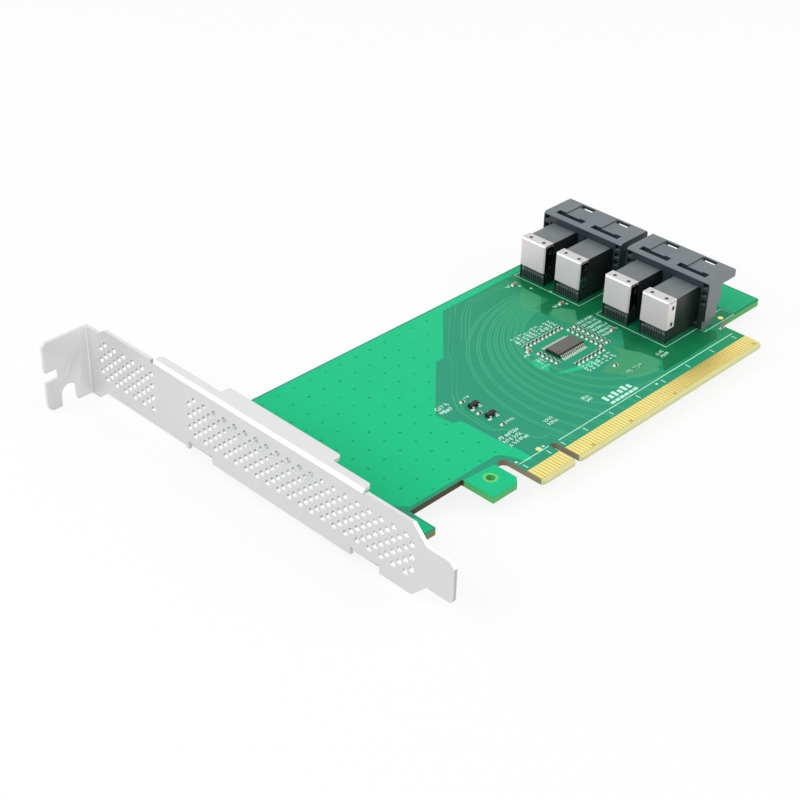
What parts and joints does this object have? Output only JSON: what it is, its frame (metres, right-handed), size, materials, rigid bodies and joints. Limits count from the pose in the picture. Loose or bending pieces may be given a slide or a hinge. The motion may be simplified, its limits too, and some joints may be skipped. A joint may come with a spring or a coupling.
{
  "type": "nvme adapter card",
  "caption": "Flat expansion card with a vented slot bracket, gold edge fingers and shielded high-density cable ports at its rear.",
  "frame": {"origin": "middle of the key notch, at the finger tongue's bottom edge, on the board's component face", "axes": "+X along the card from the slot bracket to the rear ports, +Y from the edge fingers to the top edge, +Z out of the component side"},
  "size_m": [0.161, 0.12, 0.0209],
  "materials": {
    "circuit_board": "semi-gloss solder mask",
    "bracket_steel": "bright zinc plate",
    "screw_steel": "bright zinc plate",
    "gold": "polished gold plate",
    "shell_plastic": "fine matt moulding",
    "block_plastic": "satin moulding",
    "cap_steel": "tin plate",
    "chip_plastic": "matt mould compound",
    "ceramic_tan": "matt ceramic",
    "tin": "dull tin"
  },
  "bodies": {
    "root": {"circuit_board": "circuit_board", "mounting_bracket": "bracket_steel", "bracket_screw_upper": "screw_steel", "bracket_screw_lower": "screw_steel", "edge_contacts_component_side": "gold", "edge_contacts_solder_side": "gold", "port_shell_1": "shell_plastic", "port_shell_2": "shell_plastic", "clock_chip_body": "chip_plastic", "clock_chip_leads": "tin", "transistor_bodies": "chip_plastic", "transistor_leads": "tin", "resistor_bodies": "chip_plastic", "resistor_ends": "tin", "capacitor_bodies": "ceramic_tan", "capacitor_ends": "tin", "port_1_contact_block": "block_plastic", "port_1_cap": "cap_steel", "port_1_contacts": "gold", "port_2_contact_block": "block_plastic", "port_2_cap": "cap_steel", "port_2_contacts": "gold", "port_3_contact_block": "block_plastic", "port_3_cap": "cap_steel", "port_3_contacts": "gold", "port_4_contact_block": "block_plastic", "port_4_cap": "cap_steel", "port_4_contacts": "gold"}
  },
  "joints": []
}
